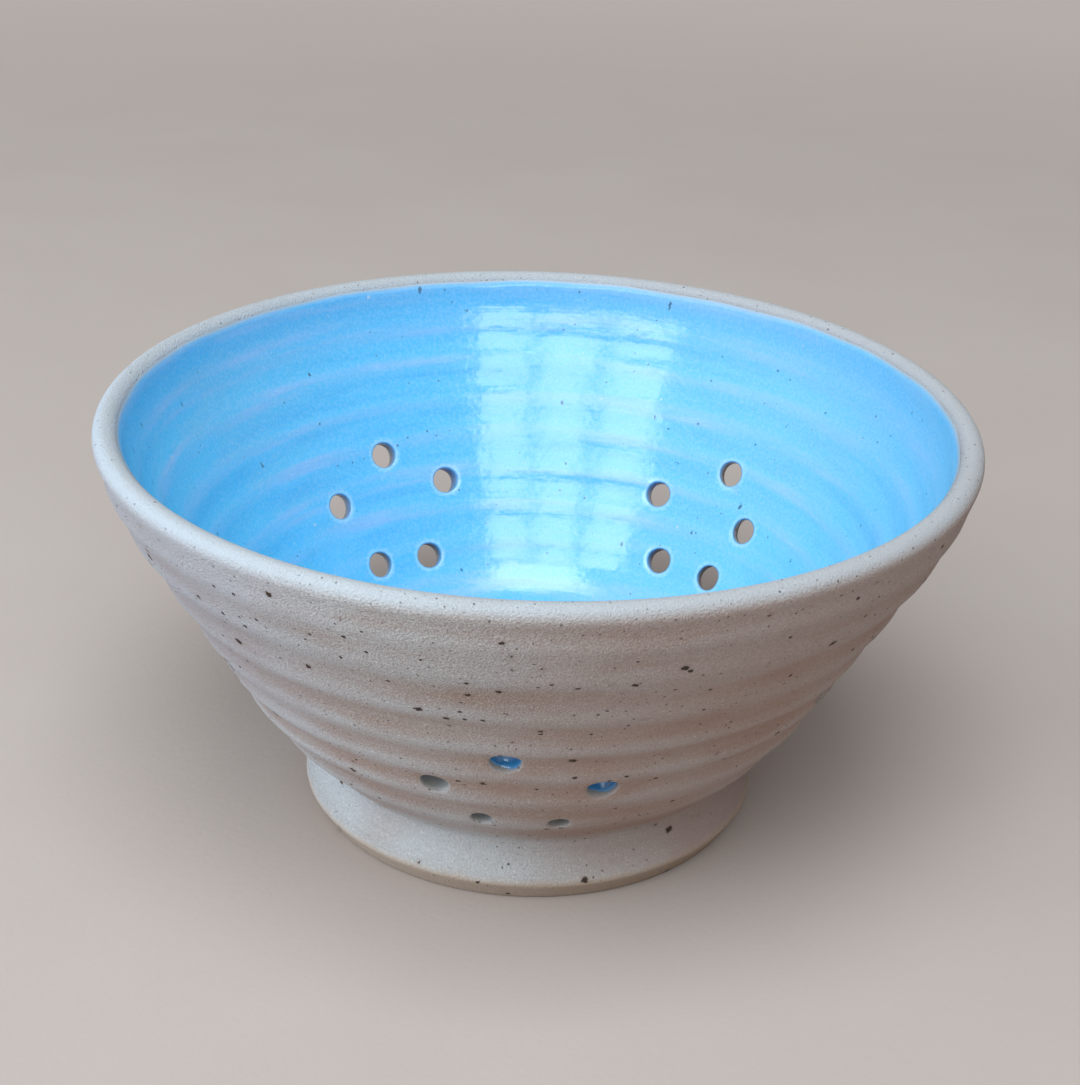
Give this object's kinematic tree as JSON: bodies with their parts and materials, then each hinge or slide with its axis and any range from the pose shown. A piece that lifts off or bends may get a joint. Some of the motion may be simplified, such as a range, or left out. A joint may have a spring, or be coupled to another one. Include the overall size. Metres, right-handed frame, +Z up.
{
  "type": "berry colander bowl",
  "caption": "Footed stoneware bowl with a flared, ringed wall, a rounded bare lip, a glazed inside and clusters of drain holes for rinsing and serving berries.",
  "frame": {"origin": "centre of the foot's resting face, on the bowl's axis", "axes": "+Z up along the bowl's axis; -Y is the side that the picture shows, with one cluster of drain holes facing it"},
  "size_m": [0.175, 0.175, 0.086],
  "materials": {
    "stoneware": "matte, sandy, iron-specked, unglazed",
    "blue_glaze": "glossy, banded over the throwing rings"
  },
  "bodies": {
    "root": {"thrown_bowl": "stoneware", "foot_ring": "stoneware", "glaze_liner": "blue_glaze"}
  },
  "joints": []
}
